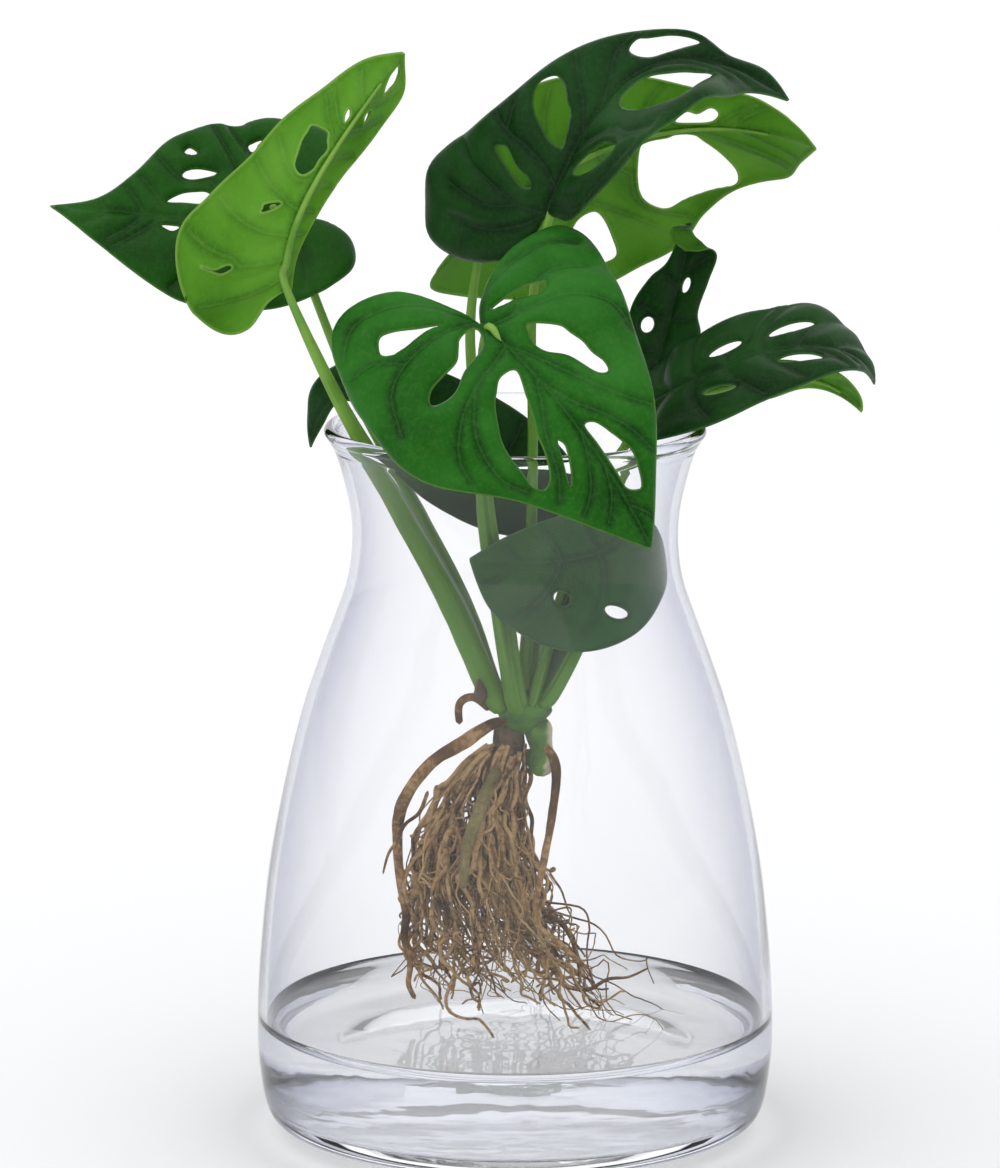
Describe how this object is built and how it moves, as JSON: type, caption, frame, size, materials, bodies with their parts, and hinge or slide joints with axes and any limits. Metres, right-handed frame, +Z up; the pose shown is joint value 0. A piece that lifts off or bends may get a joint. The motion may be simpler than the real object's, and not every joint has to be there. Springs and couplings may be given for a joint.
{
  "type": "pierced-leaf monstera cutting in a glass vase",
  "caption": "Cutting of a pierced-leaf monstera: heart-shaped leaves on long stalks, short stem and bare roots, standing in a clear flared glass vase of shallow water.",
  "frame": {"origin": "centre of the vase's flat base, on the surface it stands on", "axes": "+Z up along the vase's axis, -Y towards the side that the main leaf faces, +X to the right of that view"},
  "size_m": [0.2395, 0.1548, 0.3234],
  "materials": {
    "vase_glass": "clear blown soda glass, smooth, fire-polished rim",
    "water": "clear still water",
    "leaf_upper": "smooth, satin-glossy dark green upper side with sunken veins, paler underside",
    "leaf_pale": "matt yellow-green underside turned outwards, raised pale veins",
    "stalk": "smooth pale green leaf stalk, faintly grooved",
    "bark": "rough brown corky rhizome skin",
    "root": "dry fibrous tan-brown root"
  },
  "bodies": {
    "root": {"vase": "vase_glass", "water": "water", "leaf_front": "leaf_upper", "leaf_top": "leaf_upper", "leaf_back": "leaf_pale", "leaf_left": "leaf_pale", "leaf_far_left": "leaf_upper", "leaf_right": "leaf_upper", "leaf_upright": "leaf_upper", "leaf_low_right": "leaf_upper", "leaf_rim": "leaf_upper", "leaf_inside": "leaf_upper", "stalk_front": "stalk", "stalk_top": "stalk", "stalk_back": "stalk", "stalk_left": "stalk", "stalk_far_left": "stalk", "stalk_right": "stalk", "stalk_upright": "stalk", "stalk_low_right": "stalk", "stalk_rim": "stalk", "stalk_inside": "stalk", "crown": "stalk", "stem": "stalk", "rhizome": "bark", "bud": "stalk", "root_left": "root", "root_right": "root", "root_olive": "root", "root_loop": "root", "root_hair": "root", "root_strand": "root", "root_mass": "root"}
  },
  "joints": []
}
